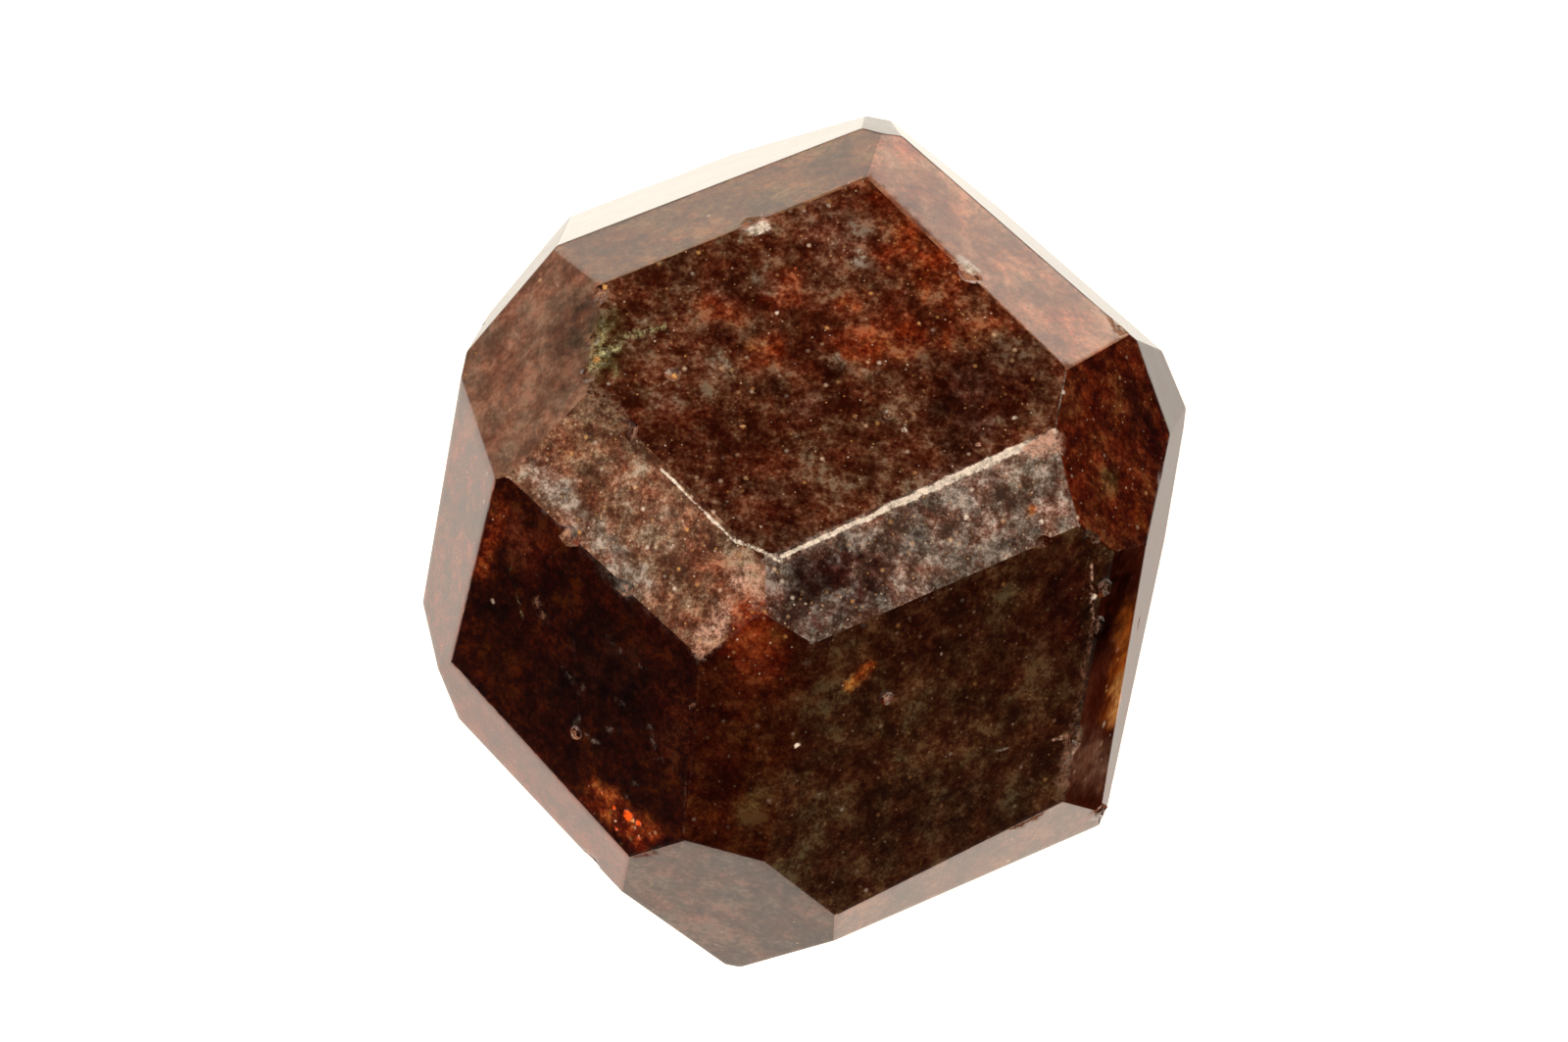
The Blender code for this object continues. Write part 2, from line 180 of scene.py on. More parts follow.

# Where the surface is crushed to pale powder along an edge, a corner or a scratch, in the same terms.
# Some are painted light: the cream lines along the top face's edges are crushed edge and the painted
# highlight of its rounding together, the honey spot on the face (2, -1, 1) is a painted glint, and the
# ember specks added below are painted glow.
BRUISES_AND_PAINTED_LIGHT = [
    # The top face's two edge lines: crushed powder and the painted highlight along the rounded edge together
    ("blush", (0.2, -6.2, 22.3), (8.0, 0.1, 22.2), 0.22, 0.22),
    ("cream", (0.2, -6.2, 22.3), (3.0, -3.9, 22.3), 0.08, 1.0),
    ("cream", (3.0, -3.9, 22.3), (8.0, 0.2, 22.3), 0.12, 1.0),
    ("blush", (7.5, -0.4, 22.2), (8.1, -0.1, 22.2), 0.30, 0.7),
    ("cream", (-4.3, -3.9, 22.3), (-1.6, -5.9, 22.3), 0.055, 1.0),
    ("cream", (-1.6, -5.9, 22.3), (0.2, -6.4, 22.3), 0.08, 0.5),
    ("blush", (-1.0, -6.9, 21.9), (-0.6, -7.4, 21.8), 0.50, 0.35),
    ("blush", (-1.3, -7.9, 21.3), (-1.9, -9.0, 20.4), 0.35, 0.4),
    ("smoke", (1.6, -8.0, 21.1), (1.6, -8.8, 20.2), 0.12, 0.7),
    ("moss", (-7.2, 0.5, 22.3), (-7.1, -0.7, 22.3), 0.24, 0.22),
    ("tan", (-6.9, -1.7, 22.2), (-6.1, -2.4, 22.2), 0.40, 0.4),
    ("moss", (-7.0, -0.2, 22.3), (-6.3, 0.7, 22.3), 0.16, 0.3),
    ("moss", (-6.3, 0.7, 22.3), (-5.2, 1.3, 22.3), 0.16, 0.25),
    ("blush", (-3.2, 5.5, 22.4), (-2.8, 5.7, 22.3), 0.24, 0.8),
    ("cream", (-3.1, 5.5, 22.4), (-2.8, 5.6, 22.3), 0.18, 0.7),
    ("blush", (3.9, 5.9, 22.3), (4.2, 5.6, 22.2), 0.24, 0.8),
    ("cream", (3.9, 5.9, 22.3), (4.3, 5.7, 22.2), 0.18, 0.9),
    ("clay", (-7.6, -7.0, 17.6), (-7.1, -7.5, 17.2), 0.16, 0.2),
    ("moss", (-8.7, -6.1, 17.8), (-8.0, -7.3, 16.8), 0.06, 0.10),
    ("smoke", (-5.1, -8.3, 18.4), (-4.6, -8.7, 18.4), 0.11, 0.13),
    ("smoke", (-6.4, -8.7, 16.5), (-6.0, -9.0, 16.4), 0.11, 0.14),
    ("smoke", (-5.7, -9.3, 16.2), (-5.6, -9.2, 16.5), 0.10, 0.12),
    ("smoke", (-3.9, -9.1, 18.5), (-3.6, -9.3, 18.6), 0.11, 0.12),
    ("smoke", (-5.7, -10.0, 15.2), (-5.5, -9.8, 15.6), 0.10, 0.13),
    ("smoke", (-5.3, -10.3, 15.3), (-4.8, -10.6, 15.4), 0.11, 0.15),
    ("smoke", (-4.5, -10.3, 16.0), (-4.1, -10.4, 16.3), 0.11, 0.14),
    ("smoke", (-3.2, -10.5, 17.2), (-2.9, -11.0, 16.7), 0.10, 0.15),
    ("smoke", (-2.9, -11.3, 16.4), (-2.6, -11.4, 16.6), 0.11, 0.15),
    ("smoke", (-4.4, -9.7, 17.0), (-4.1, -9.9, 17.0), 0.10, 0.11),
    ("smoke", (-3.5, -11.7, 15.2), (-3.2, -11.8, 15.3), 0.10, 0.11),
    ("clay", (-1.9, -10.3, 18.7), (-1.8, -10.2, 18.8), 0.14, 0.45),
    ("clay", (-1.7, -11.9, 16.7), (-1.4, -13.1, 15.2), 0.05, 0.12),
    ("blush", (9.6, -6.7, 14.4), (10.2, -6.4, 14.3), 0.08, 0.6),
    ("blush", (9.9, -2.8, 19.5), (10.3, -4.0, 17.5), 0.06, 0.3),
    # Painted glint: the brightest spot of the golden light on the face (2, -1, 1)
    ("honey", (11.4, -4.4, 14.0), (11.5, -4.8, 13.4), 0.16, 0.3),
    ("clay", (10.3, -4.0, 17.5), (10.2, -6.4, 14.3), 0.12, 0.2),
    ("clay", (10.2, -6.4, 14.3), (10.3, -7.5, 12.7), 0.20, 0.35),
    ("smoke", (7.4, -8.0, 14.9), (8.9, -7.3, 14.8), 0.05, 0.35),
]

# Single bright grains in the surface: the tint, the place, and the radius. The ember ones are no grains
# but painted glow: orange light shining out through the crystal, most of it at the lower tip.
SPECKS = [
    ("cream", (-1.7, 2.6, 22.3), 0.07), ("honey", (-4.5, -0.4, 22.3), 0.09),
    ("cream", (-4.8, -0.8, 22.3), 0.05), ("ember", (-1.4, 4.3, 22.3), 0.08),
    ("honey", (-2.0, -1.8, 22.3), 0.08), ("cream", (-0.7, -5.3, 22.3), 0.07),
    ("cream", (4.0, 4.1, 22.3), 0.06), ("honey", (2.9, 3.2, 22.3), 0.08),
    ("cream", (3.2, -0.8, 22.3), 0.09), ("cream", (6.6, 0.4, 22.3), 0.08),
    ("blush", (5.6, -0.8, 22.3), 0.09), ("cream", (8.0, 1.7, 22.3), 0.07),
    ("honey", (-7.1, -0.4, 22.3), 0.13), ("honey", (-7.4, 2.3, 22.3), 0.10),
    ("honey", (-0.3, 8.0, 22.3), 0.10), ("cream", (5.7, -3.2, 21.7), 0.09),
    ("cream", (8.1, -2.6, 21.2), 0.10), ("smoke", (-9.1, -6.7, 16.5), 0.09),
    ("cream", (5.7, -6.7, 18.8), 0.05), ("cream", (8.4, -5.6, 17.5), 0.05),
    ("cream", (8.3, -7.0, 15.5), 0.05), ("cream", (5.6, -8.8, 16.0), 0.04),
    ("cream", (1.7, -10.6, 17.9), 0.08), ("cream", (10.2, -3.4, 18.4), 0.09),
    # Painted glow: a cluster of orange light shining out through the thin lower tip
    ("ember", (-3.4, -12.4, 14.2), 0.16), ("ember", (-3.0, -12.6, 14.3), 0.09),
    ("ember", (-3.9, -12.1, 14.1), 0.07), ("ember", (-3.7, -12.6, 13.6), 0.06),
    ("ember", (-2.9, -12.9, 13.9), 0.06), ("ember", (-4.4, -11.7, 14.2), 0.05),
    ("honey", (-3.2, -12.5, 14.2), 0.07), ("blush", (-3.8, -12.4, 13.8), 0.05),
    ("blush", (-3.8, -13.0, 12.8), 0.05), ("ember", (1.2, 10.2, 21.1), 0.09),
    ("ember", (7.8, 4.4, 21.5), 0.09),
]
SPECK_STRENGTH = 0.95
BRUISES_AND_PAINTED_LIGHT += [(tint, place, place, radius, SPECK_STRENGTH) for tint, place, radius in SPECKS]

# The surface is cut finer within reach of a bruise, a speck or a painted highlight, glint or glow, down to a
# share of its half width
REACH_SHARE, FINER_SHARE, FINEST_MM = 1.6, 0.6, 0.04
HALVINGS = (32, 16, 8, 4, 2, 1, 1)      # the longest edges are halved first


def linear(code):
    """An sRGB hex colour as linear red, green and blue."""
    parts = [int(code[i:i + 2], 16) / 255.0 for i in (0, 2, 4)]
    return tuple(c / 12.92 if c <= 0.04045 else ((c + 0.055) / 1.055) ** 2.4 for c in parts)


def form(*indices):
    """Every face of one crystal form: all orders and all signs of its indices."""
    return sorted({tuple(i * s for i, s in zip(order, signs))
                   for order in permutations(indices) for signs in product((1, -1), repeat=3)})


def find_planes(bm):
    """Each crystal face's real direction and distance: of the broad polygons that face its way, the
    lowest counts, because a growth layer stands proud of its face."""
    planes = {}
    for face in form(1, 1, 0) + form(2, 1, 1) + form(1, 0, 0):
        way = LIE @ Vector(face).normalized()
        facing = [polygon for polygon in bm.faces if polygon.normal.dot(way) > COS_VICINAL]
        widest = max((polygon.calc_area() for polygon in facing), default=0.0)
        broad = [polygon for polygon in facing
                 if polygon.calc_area() > max(widest * BROAD_SHARE, LEAST_FACE_MM2)]
        if broad:
            lowest = min(broad, key=lambda polygon: polygon.normal.dot(polygon.verts[0].co))
            planes[face] = (lowest.normal.copy(), lowest.normal.dot(lowest.verts[0].co))
    return planes


def away_from(places, start, end):
    """How far each place lies from the straight line between two ends."""
    start, end = np.array(start), np.array(end)
    run = end - start
    along = np.clip((places - start) @ run / max(run @ run, 1e-9), 0.0, 1.0)
    return np.linalg.norm(places - start - along[:, None] * run, axis=1)


def longest_edges(bm, kind):
    """How long each edge may be: by its faces' finish, and shorter along a bruise, a speck or a painted
    highlight, glint or glow.
    """
    limits = np.array([min(FINENESS_MM[face[kind]] for face in edge.link_faces) for edge in bm.edges])
    middles = np.array([(edge.verts[0].co + edge.verts[1].co) / 2 for edge in bm.edges])
    for _, start, end, half_width, _ in BRUISES_AND_PAINTED_LIGHT:
        near = away_from(middles, start, end) < half_width * REACH_SHARE + limits
        limits[near] = np.minimum(limits[near], max(half_width * FINER_SHARE, FINEST_MM))
    return limits


def cut_finer(bm, kind):
    """Halve the long edges again and again until every face is cut as fine as its finish needs."""
    for step in HALVINGS:
        lengths = np.array([edge.calc_length() for edge in bm.edges])
        edges = list(bm.edges)
        long = [edges[i] for i in np.flatnonzero(lengths > step * longest_edges(bm, kind))]
        bmesh.ops.subdivide_edges(bm, edges=long, cuts=1)
        bmesh.ops.triangulate(bm, faces=[face for face in bm.faces if len(face.verts) > 3])
        within = [edge for edge in bm.edges
                  if edge.link_faces[0].normal.dot(edge.link_faces[1].normal) > COS_FLAT]
        bmesh.ops.beautify_fill(bm, faces=list({face for edge in within for face in edge.link_faces}),
                                edges=within)


rough_mesh = bmesh.new()
rough_mesh.from_mesh(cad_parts["garnet_crystal"].data)
bmesh.ops.scale(rough_mesh, vec=(1 / MM, 1 / MM, 1 / MM), verts=rough_mesh.verts)
bmesh.ops.remove_doubles(rough_mesh, verts=rough_mesh.verts, dist=MERGE_MM)
bmesh.ops.dissolve_limit(rough_mesh, angle_limit=math.radians(FLAT_DEG),
                         verts=rough_mesh.verts, edges=rough_mesh.edges)
planes = find_planes(rough_mesh)
named = list(planes)
habit = rough_mesh.faces.layers.int.new("habit")
kind = rough_mesh.faces.layers.int.new("kind")
for face in rough_mesh.faces:
    face[habit] = max(range(len(named)), key=lambda i: face.normal.dot(planes[named[i]][0]))
    face[kind] = FACES.get(named[face[habit]], OTHER_FACES)[0]
bmesh.ops.triangulate(rough_mesh, faces=rough_mesh.faces)
cut_finer(rough_mesh, kind)
for face in rough_mesh.faces:
    face.smooth = True
    face.material_index = face[kind]
mesh = bpy.data.meshes.new("garnet_crystal_surface")
rough_mesh.to_mesh(mesh)
rough_mesh.free()

# How deep each point lies under the whole, unchipped crystal tells the chips, pits and worn edges
points = np.empty(len(mesh.vertices) * 3, np.float32)
mesh.vertices.foreach_get("co", points)
points = points.reshape(-1, 3).astype(float)
outward = np.array([vertex.normal for vertex in mesh.vertices])
ways = np.array([way for way, _ in planes.values()])
reach = np.array([distance for _, distance in planes.values()])
depth = np.clip((reach - points @ ways.T).min(axis=1), 0.0, None)


def ramp(values, low, high):
    """A smooth step from 0 at low to 1 at high."""
    share = np.clip((values - low) / (high - low), 0.0, 1.0)
    return share * share * (3.0 - 2.0 * share)


# Each finish has its relief, and a rougher, shell-like break shows where the surface is chipped. Both are
# fractal noise, given by how fast its octaves weaken, how much finer each is, and how many there are.
CHIP_FROM_MM, CHIP_FULL_MM = 0.03, 0.09     # depths from which it is taken, and where it surely is, a chip
CHIP_RELIEF_MM, CHIP_RELIEF_PER_MM = 0.025, 2.6
CHIP_POWDER = 0.2           # how much of a chip is powder
FINE_FRACTAL, CHIP_FRACTAL = (0.6, 2.1, 3), (0.8, 2.0, 3)
corner_face = np.empty(len(mesh.loops), np.int32)
mesh.attributes["habit"].data.foreach_get("value", corner_face[:len(mesh.polygons)])
corner_face = np.repeat(corner_face[:len(mesh.polygons)], 3)
corner_point = np.empty(len(mesh.loops), np.int32)
mesh.loops.foreach_get("vertex_index", corner_point)
kinds = np.array([FACES.get(face, OTHER_FACES)[0] for face in named])
height = np.zeros(len(points))
for finish in (ETCHED, DULL, STRIATED, MATT, SATIN, BRIGHT):    # where finishes meet, the smoother one wins
    height[corner_point[kinds[corner_face] == finish]] = RELIEF_MM[finish]
chipped = ramp(depth, CHIP_FROM_MM, CHIP_FULL_MM)
fine = np.array([noise.fractal(Vector(point) * RELIEF_PER_MM, *FINE_FRACTAL) for point in points])
coarse = np.array([noise.fractal(Vector(point) * CHIP_RELIEF_PER_MM, *CHIP_FRACTAL) for point in points])
push = fine * height + coarse * chipped * CHIP_RELIEF_MM
relief = points + outward * push[:, None]
mesh.vertices.foreach_set("co", (relief * MM).ravel())
mesh.set_sharp_from_angle(angle=math.radians(SHARP_DEG))
crystal = bpy.data.objects.new("garnet_crystal_surface", mesh)
bpy.context.scene.collection.objects.link(crystal)

# The outlines of stains, bruises and painted light marks stray by two sizes of noise, the finer one half as
# strong
STRAY_PER_MM, STRAY_FINER_PER_MM = 1.7, 5.0
WANDER = 0.6                # how far an outline strays, as a share of the half width
THIN_MM = 0.15              # a bruise no wider than this is a clear line or speck
STAIN_SOFTNESS, BRUISE_SOFTNESS, LINE_SOFTNESS = 1.6, 1.7, 0.9     # edge widths, as shares of the half width
STAIN_LEAST = 0.5           # a stain is this strong where it is thinnest
STAIN_PER_MM, STAIN_FRACTAL, STAIN_RANGE = 1.5, (0.5, 2.0, 4), 0.35     # the noise that thins it
RIM_TINT = 4.0              # so much sooner than its strength a bruise has its full tint
OUTLINE_SEED = 1            # without a seed the noise starts from the clock, and differs each run
noise.seed_set(OUTLINE_SEED)
stray = np.array([noise.noise_vector(Vector(point) * STRAY_PER_MM)
                  + noise.noise_vector(Vector(point) * STRAY_FINER_PER_MM) * 0.5 for point in points])


def cover(start, end, half_width, softness):
    """How much a stain, a bruise or a painted light mark covers each point, from 0 to 1, with a wandering
    outline.
    """
    away = away_from(points + stray * (half_width * WANDER), start, end)
    return 1.0 - ramp(away, half_width * (1.0 - softness / 2), half_width * (1.0 + softness / 2))


def blend(colours, tint, share):
    """Colours with a share of one tint laid over them."""
    return colours * (1.0 - share[:, None]) + np.array(linear(TINTS[tint])) * share[:, None]


body = np.array([linear(FACES.get(face, OTHER_FACES)[1]) for face in named])[corner_face]
mottling = np.array([FACES.get(face, OTHER_FACES)[2] for face in named])[corner_face]
thinned = np.array([noise.fractal(Vector(point) * STAIN_PER_MM, *STAIN_FRACTAL) for point in points])
thinned = STAIN_LEAST + (1.0 - STAIN_LEAST) * ramp(thinned, -STAIN_RANGE, STAIN_RANGE)
for tint, start, end, half_width, strength in STAINS_AND_PAINTED_GLOWS:
    share = cover(start, end, half_width, STAIN_SOFTNESS) * thinned * strength
    body = blend(body, tint, share[corner_point])
# Pale powder, and the painted highlights, glints and glows laid on in the same way
powder_and_painted_light = np.tile(linear(TINTS["blush"]), (len(points), 1))
crush_and_painted_light = chipped * CHIP_POWDER
for tint, start, end, half_width, strength in BRUISES_AND_PAINTED_LIGHT:
    softness = BRUISE_SOFTNESS if half_width > THIN_MM else LINE_SOFTNESS
    covered = cover(start, end, half_width, softness)
    powder_and_painted_light = blend(powder_and_painted_light, tint, np.minimum(covered * RIM_TINT, 1.0))
    crush_and_painted_light = np.maximum(crush_and_painted_light, covered * strength)
painted = mesh.color_attributes.new("body_colour", "FLOAT_COLOR", "CORNER")
painted.data.foreach_set("color", np.column_stack([body, mottling]).ravel())
powder_and_light_layer = mesh.color_attributes.new("powder_and_painted_light_colour", "FLOAT_COLOR", "POINT")
powder_and_light_layer.data.foreach_set("color", np.column_stack([powder_and_painted_light, crush_and_painted_light]).ravel())


def add(tree, kind, inputs=(), **settings):
    """Add one node: an input is a value or another node's output, a setting is the node's own."""
    node = tree.nodes.new("ShaderNode" + kind)
    for name, value in settings.items():
        setattr(node, name, value)
    for name, value in dict(inputs).items():
        if isinstance(value, bpy.types.NodeSocket):
            tree.links.new(value, node.inputs[name])
        else:
            node.inputs[name].default_value = value
    return node


# Andradite garnet as it grew. Its IOR of 1.89 gives a strong, glassy reflection on smooth faces, and the
# growth marks and etching of the others dull it. Pale grains lie in and on a dark red body.
ANDRADITE_IOR = 1.89
STREAK_WAY = (0.0, 0.8, 0.6)    # the striae run this way across their faces
STREAK_LENGTH = 1.7             # and are this many times as long as they are wide
ASIDE = (17.0, 5.0, 11.0)       # a second pattern is shifted by this, to be independent of the first

# Mottling: darker, redder patches and paler ones, from 2 mm down to a tenth, and warmer and greyer ones
# about a millimetre across
PATCH_NOISE = {"Detail": 4.5, "Roughness": 0.95}
PATCH_SHADE = {"From Min": 0.38, "From Max": 0.61, "To Min": -2.0, "To Max": 1.8}
DRIFT_NOISE = {"Scale": 0.8, "Detail": 3.0, "Roughness": 0.8}
DRIFT_SHADE = {"From Min": 0.35, "From Max": 0.65, "To Min": -1.5, "To Max": 1.5}
WARMTH = (1.14, 0.95, 0.90)
WARM_GREY = (1.0, 0.75, 0.59)   # the greyest that a pale patch gets, as shares of its red
MIDDLE = 2.0                    # added to a power, because the Gamma node takes none below zero

# Bright grains in two sizes, a fifth and a tenth of a millimetre across. One fades from the middle of
# its cell, and is honey-coloured or cream. The darkest, least red bodies hide them. On the etched strips,
# where most cells hold one, they are painted sparkle: glints of light off the fine bumps.
GRAIN_CELLS_PER_MM = (2.6, 5.6)
GRAIN_EDGE = {"From Min": 0.26, "From Max": 0.04}
GRAIN_PALENESS = {"From Min": 0.3}
GRAINS_SEEN = {"From Min": 0.02, "From Max": 0.10}

# Crushed garnet is a pale powder, in granules of a quarter of a millimetre and finer. The same layer lays
# on the painted highlights, glint and glow, and its granules are painted darker and brighter than their
# tint: painted glinting beads with darker gaps between.
POWDER_NOISE = {"Scale": 4.0, "Detail": 4.0, "Roughness": 0.9}
POWDER_CROWDING = 0.3           # how much a hard knock adds to the granules
POWDER_SHOWN = {"From Min": 0.52, "From Max": 0.74}
POWDER_STRUCK = {"From Min": 0.02, "From Max": 0.30}
POWDER_SHADE = {"From Min": 0.40, "From Max": 0.60, "To Min": 0.6, "To Max": 1.15}
POLISH_NOISE = {"From Min": 0.4, "From Max": 0.6}
POLISH_LEAST, POLISH_MOST = 0.95, 1.06      # how the roughness varies, as shares of the finish's own


def andradite(name, roughness, specular, swing, grains, bump_mm=0.0, striated=False, patches_per_mm=0.5):
    """One finish of the crystal. Swing is how much red, green and blue grow from the body's usual shade
    to its paler patches; its darker patches are as much deeper and redder. Grains is the share of the
    cells that hold a bright grain; on the etched strips, where it is high, the grains are painted sparkle."""
    material = bpy.data.materials.new(name)
    material.use_nodes = True
    tree = material.node_tree
    shader = tree.nodes["Principled BSDF"]
    shader.inputs["IOR"].default_value = ANDRADITE_IOR
    shader.inputs["Specular IOR Level"].default_value = specular
    metres = add(tree, "TexCoord").outputs["Object"]
    place = add(tree, "VectorMath", {0: metres, "Scale": 1 / MM}, operation="SCALE").outputs["Vector"]
    if striated:
        along = add(tree, "VectorMath", {0: place, 1: STREAK_WAY}, operation="DOT_PRODUCT")
        back = add(tree, "VectorMath", {0: STREAK_WAY, "Scale": along.outputs["Value"]}, operation="SCALE")
        shorter = (1 / STREAK_LENGTH - 1,) * 3
        place = add(tree, "VectorMath", {0: back.outputs["Vector"], 1: shorter, 2: place},
                    operation="MULTIPLY_ADD").outputs["Vector"]
    aside = add(tree, "VectorMath", {0: place, 1: ASIDE}, operation="ADD").outputs["Vector"]
    painted = add(tree, "Attribute", attribute_name="body_colour")
    body, mottling = painted.outputs["Color"], painted.outputs["Alpha"]
    powder_and_light_layer = add(tree, "Attribute", attribute_name="powder_and_painted_light_colour")
    powder_and_painted_light, crush_and_painted_light = powder_and_light_layer.outputs["Color"], powder_and_light_layer.outputs["Alpha"]

    patches = add(tree, "TexNoise", {"Vector": place, "Scale": patches_per_mm, **PATCH_NOISE}).outputs["Fac"]
    drift = add(tree, "TexNoise", {"Vector": aside, **DRIFT_NOISE}).outputs["Fac"]
    colour = body
    for pattern, shades, tint in ((patches, PATCH_SHADE, swing), (drift, DRIFT_SHADE, WARMTH)):
        shade = add(tree, "MapRange", {"Value": pattern, **shades}).outputs["Result"]
        power = add(tree, "Math", {0: shade, 1: mottling, 2: MIDDLE}, operation="MULTIPLY_ADD")
        swung = add(tree, "Gamma", {"Color": (*tint, 1.0), "Gamma": power.outputs["Value"]}).outputs["Color"]
        level = tuple(1 / channel ** MIDDLE for channel in tint)
        swung = add(tree, "VectorMath", {0: swung, 1: level}, operation="MULTIPLY").outputs["Vector"]
        colour = add(tree, "VectorMath", {0: colour, 1: swung}, operation="MULTIPLY").outputs["Vector"]
    red = add(tree, "SeparateColor", {"Color": colour}).outputs["Red"]
    palest = add(tree, "VectorMath", {0: WARM_GREY, "Scale": red}, operation="SCALE").outputs["Vector"]
    colour = add(tree, "VectorMath", {0: colour, 1: palest}, operation="MINIMUM").outputs["Vector"]

    red = add(tree, "SeparateColor", {"Color": body}).outputs["Red"]
    seen = add(tree, "MapRange", {"Value": red, **GRAINS_SEEN}).outputs["Result"]
    for cells_per_mm, where in zip(GRAIN_CELLS_PER_MM, (place, aside)):
        cells = add(tree, "TexVoronoi", {"Vector": where, "Scale": cells_per_mm})
        near = add(tree, "MapRange", {"Value": cells.outputs["Distance"], **GRAIN_EDGE}).outputs["Result"]
        lots = add(tree, "SeparateColor", {"Color": cells.outputs["Color"]})
        picked = add(tree, "MapRange", {"Value": lots.outputs["Red"], "From Min": 1.0 - grains})
        picked = picked.outputs["Result"]
        for factor in (picked, seen, near):
            picked = add(tree, "Math", {0: picked, 1: factor}, operation="MULTIPLY").outputs["Value"]
        pale = add(tree, "MapRange", {"Value": lots.outputs["Green"], **GRAIN_PALENESS}).outputs["Result"]
        hue = add(tree, "Mix", {0: pale, 6: (*linear(TINTS["honey"]), 1.0),
                                7: (*linear(TINTS["cream"]), 1.0)}, data_type="RGBA").outputs[2]
        colour = add(tree, "Mix", {0: picked, 6: colour, 7: hue}, data_type="RGBA").outputs[2]

    # Pale powder, with the painted highlights, glints and glows that ride on it
    granule = add(tree, "TexNoise", {"Vector": aside, **POWDER_NOISE}).outputs["Fac"]
    crowd = add(tree, "Math", {0: crush_and_painted_light, 1: POWDER_CROWDING, 2: granule}, operation="MULTIPLY_ADD")
    shown = add(tree, "MapRange", {"Value": crowd.outputs["Value"], **POWDER_SHOWN}).outputs["Result"]
    struck = add(tree, "MapRange", {"Value": crush_and_painted_light, **POWDER_STRUCK}).outputs["Result"]
    shown = add(tree, "Math", {0: shown, 1: struck}, operation="MULTIPLY").outputs["Value"]
    granule_shade_and_glint = add(tree, "MapRange", {"Value": granule, **POWDER_SHADE}).outputs["Result"]
    heap = add(tree, "VectorMath", {0: powder_and_painted_light, "Scale": granule_shade_and_glint}, operation="SCALE").outputs["Vector"]
    colour = add(tree, "Mix", {0: shown, 6: colour, 7: heap}, data_type="RGBA").outputs[2]
    tree.links.new(colour, shader.inputs["Base Color"])

    dulled = add(tree, "MapRange", {"Value": patches, **POLISH_NOISE, "To Min": roughness * POLISH_LEAST,
                                    "To Max": roughness * POLISH_MOST}).outputs["Result"]
    tree.links.new(dulled, shader.inputs["Roughness"])
    if bump_mm:
        swell = add(tree, "Bump", {"Height": granule, "Strength": 1.0, "Distance": bump_mm * MM})
        tree.links.new(swell.outputs["Normal"], shader.inputs["Normal"])
    return material


# The materials stand in the order of the finishes' numbers. A dull growth face has hillocks too fine to
# see, which swallow the reflection, so it looks nearly black and shows its stains.
mesh.materials.append(andradite("andradite dull growth face", roughness=0.35, specular=0.02,
                                swing=(1.75, 2.55, 3.1), grains=0.36, bump_mm=0.004, patches_per_mm=0.65))
# Growth lines draw out its mottling, and it hardly reflects, so that its amber depth shows
mesh.materials.append(andradite("andradite striated face", roughness=0.45, specular=0.0,
                                swing=(1.8, 2.35, 2.7), grains=0.2, bump_mm=0.004, striated=True))
# Almost smooth: a soft, even sheen of the pale surroundings lies over the body
mesh.materials.append(andradite("andradite satin face", roughness=0.24, specular=0.3,
                                swing=(1.45, 1.55, 1.6), grains=0.05))
# Smooth as it grew: seen aslant, it mirrors the pale surroundings
mesh.materials.append(andradite("andradite bright face", roughness=0.15, specular=0.45,
                                swing=(1.6, 1.8, 1.9), grains=0.05))
# Eaten into fine bumps. It hardly reflects, and its sparkle and grey paleness are painted: a pale body and
# many bright grains stand for the light that the bumps catch one by one
mesh.materials.append(andradite("andradite etched strip", roughness=0.35, specular=0.015,
                                swing=(1.7, 2.05, 2.25), grains=0.75, bump_mm=0.05, patches_per_mm=0.8))
# Finely worn: the reflection is spread so wide that the face looks evenly brown-grey
mesh.materials.append(andradite("andradite matt face", roughness=0.38, specular=0.2,
                                swing=(1.5, 1.65, 1.75), grains=0.05))

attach(crystal, "root")
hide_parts("garnet_crystal")


# The floor is a pale sheet of opal acrylic, lit evenly from below as a light table is.
# It glows a little past white, so that it throws almost no shadow.

FLOOR_RADIUS, FLOOR_SIDES = 0.045, 96
FLOOR_DROP = 0.00002        # so far below the crystal that the two never share a plane
OPAL, OPAL_GLOW, OPAL_ROUGHNESS = "e7e5dd", "fff9ec", 0.6
floor_mesh = bmesh.new()
bmesh.ops.create_circle(floor_mesh, cap_ends=True, segments=FLOOR_SIDES, radius=FLOOR_RADIUS)
bmesh.ops.translate(floor_mesh, verts=floor_mesh.verts, vec=(0.0, 0.0, -FLOOR_DROP))
floor_data = bpy.data.meshes.new("floor")
floor_mesh.to_mesh(floor_data)
floor_mesh.free()
floor = bpy.data.objects.new("floor", floor_data)
bpy.context.scene.collection.objects.link(floor)
opal = bpy.data.materials.new("opal acrylic, lit from below")
opal.use_nodes = True
shader = opal.node_tree.nodes["Principled BSDF"]
shader.inputs["Base Color"].default_value = (*linear(OPAL), 1.0)
shader.inputs["Roughness"].default_value = OPAL_ROUGHNESS
shader.inputs["Emission Color"].default_value = (*linear(OPAL_GLOW), 1.0)
shader.inputs["Emission Strength"].default_value = 1.0
floor_data.materials.append(opal)


# The light is soft: a broad softbox at the upper left, a smaller one at the upper right, and a long
# pale card low behind the crystal. The room round them is dim, and its backdrop is white.

LIT = Vector((0.0, 0.0, 0.011))         # the lights look at the middle of the crystal
ROOM, BACKDROP = 0.1, 1.2               # how bright the room is to the crystal, and to the camera
ROOM_COLOUR = (1.0, 0.98, 0.95, 1.0)


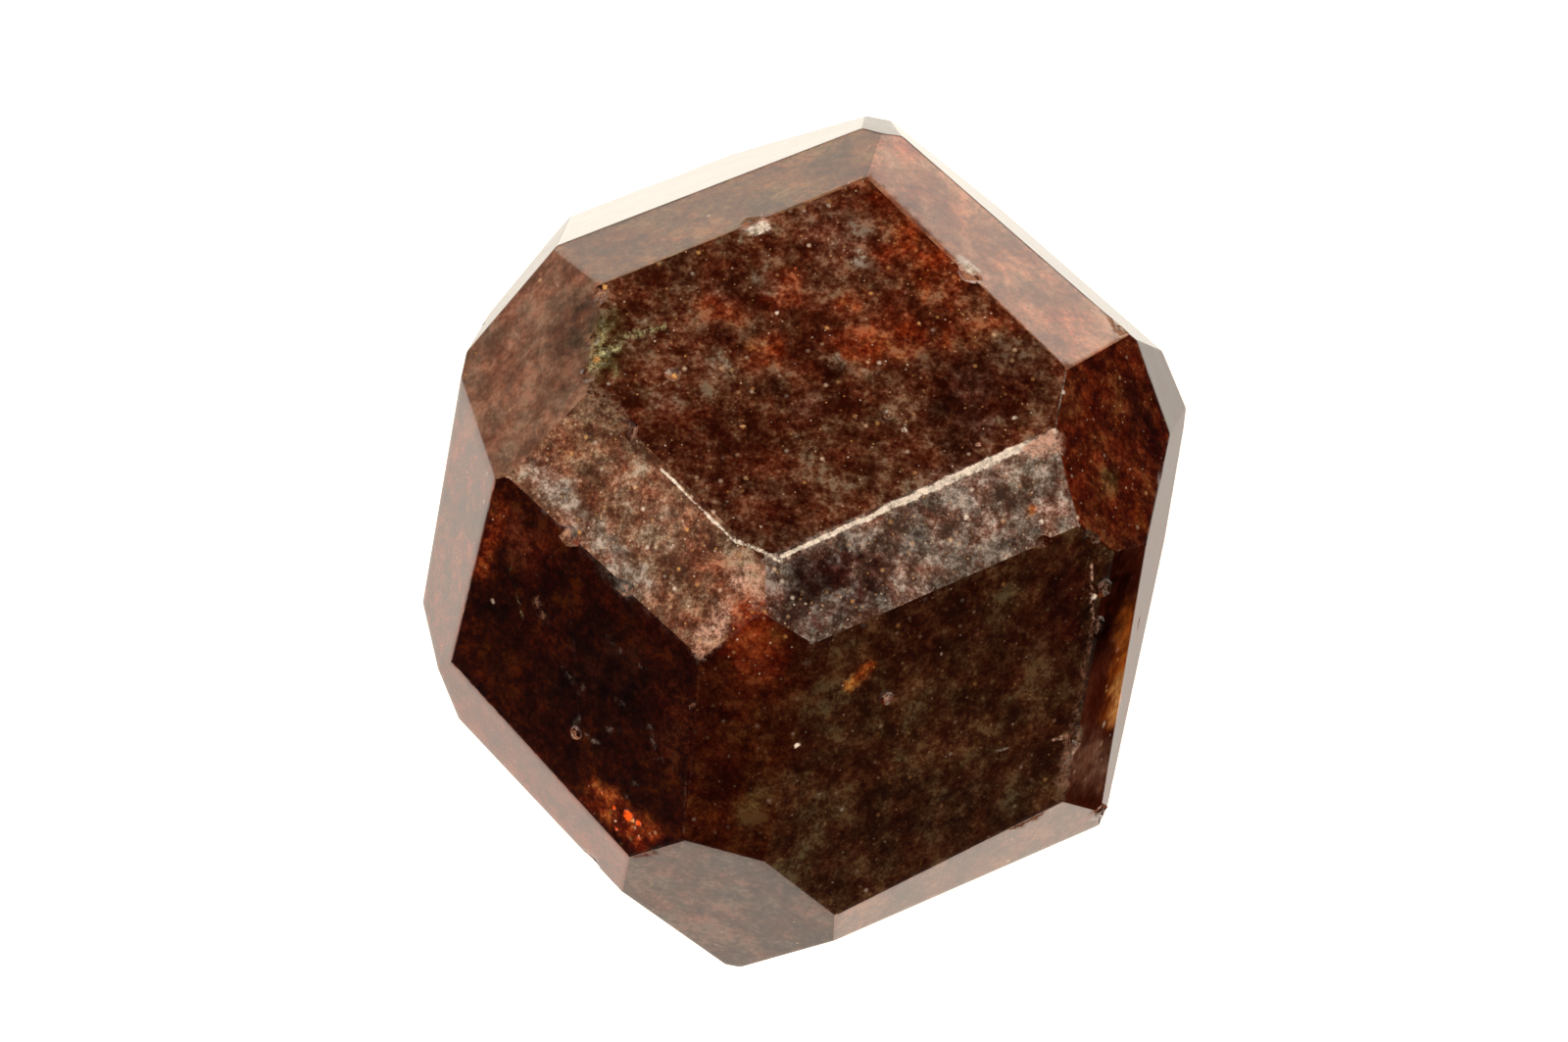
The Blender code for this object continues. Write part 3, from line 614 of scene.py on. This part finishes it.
def softbox(name, azimuth, elevation, distance, width, height, radiance, color):
    """A soft light that looks at the crystal. Azimuth is counted from +X, and angles are in degrees."""
    light = bpy.data.lights.new(name, "AREA")
    light.shape = "RECTANGLE"
    light.size, light.size_y = width, height
    light.energy = radiance * math.pi * width * height
    light.color = color
    lamp = bpy.data.objects.new(name, light)
    turn, rise = math.radians(azimuth), math.radians(elevation)
    back = Vector((math.cos(turn) * math.cos(rise), math.sin(turn) * math.cos(rise), math.sin(rise)))
    lamp.location = LIT + back * distance
    lamp.rotation_euler = back.to_track_quat("Z", "Y").to_euler()
    lamp.visible_camera = False
    bpy.context.scene.collection.objects.link(lamp)


softbox("key_softbox", azimuth=-125.0, elevation=45.0, distance=0.35, width=0.22, height=0.22,
        radiance=7.0, color=(1.0, 0.96, 0.9))
softbox("fill_softbox", azimuth=-15.0, elevation=58.0, distance=0.35, width=0.14, height=0.14,
        radiance=5.0, color=(1.0, 0.97, 0.93))
softbox("back_card", azimuth=100.0, elevation=4.0, distance=0.18, width=0.36, height=0.06,
        radiance=2.0, color=(1.0, 0.92, 0.82))

world = bpy.data.worlds.new("studio")
bpy.context.scene.world = world
world.use_nodes = True
room = world.node_tree.nodes["Background"]
looks = add(world.node_tree, "LightPath").outputs["Is Camera Ray"]
level = add(world.node_tree, "MapRange", {"Value": looks, "To Min": ROOM, "To Max": BACKDROP})
world.node_tree.links.new(level.outputs["Result"], room.inputs["Strength"])
room.inputs["Color"].default_value = ROOM_COLOUR


# The camera looks steeply down on the crystal through a long lens, as the photograph does.
# It stands a little to the right, and is rolled until the crystal lies as it does there.

AZIMUTH, ELEVATION, ROLL = 6.0, 61.1, 5.6       # degrees
FRAME_WIDTH = 0.05147                           # metres across the frame, at the crystal
LENS, SENSOR = 800.0, 36.0
CLIP = 0.01, 10.0
AIM = Vector((0.00014, 0.000525, 0.0114))
AIM_RIGHT, AIM_UP = -0.000676, 0.000598         # the crystal lies this far off the middle of the frame
camera_data = bpy.data.cameras.new("camera")
camera_data.lens = LENS
camera_data.sensor_width = SENSOR
camera_data.clip_start, camera_data.clip_end = CLIP
camera = bpy.data.objects.new("camera", camera_data)
turn = (Matrix.Rotation(math.radians(AZIMUTH), 4, "Z")
        @ Matrix.Rotation(math.radians(90.0 - ELEVATION), 4, "X")
        @ Matrix.Rotation(math.radians(ROLL), 4, "Z"))
offset = Vector((AIM_RIGHT, AIM_UP, FRAME_WIDTH * LENS / SENSOR))
camera.matrix_world = Matrix.Translation(AIM + turn.to_3x3() @ offset) @ turn
bpy.context.scene.collection.objects.link(camera)
bpy.context.scene.camera = camera
bpy.context.scene.view_settings.view_transform = "Standard"
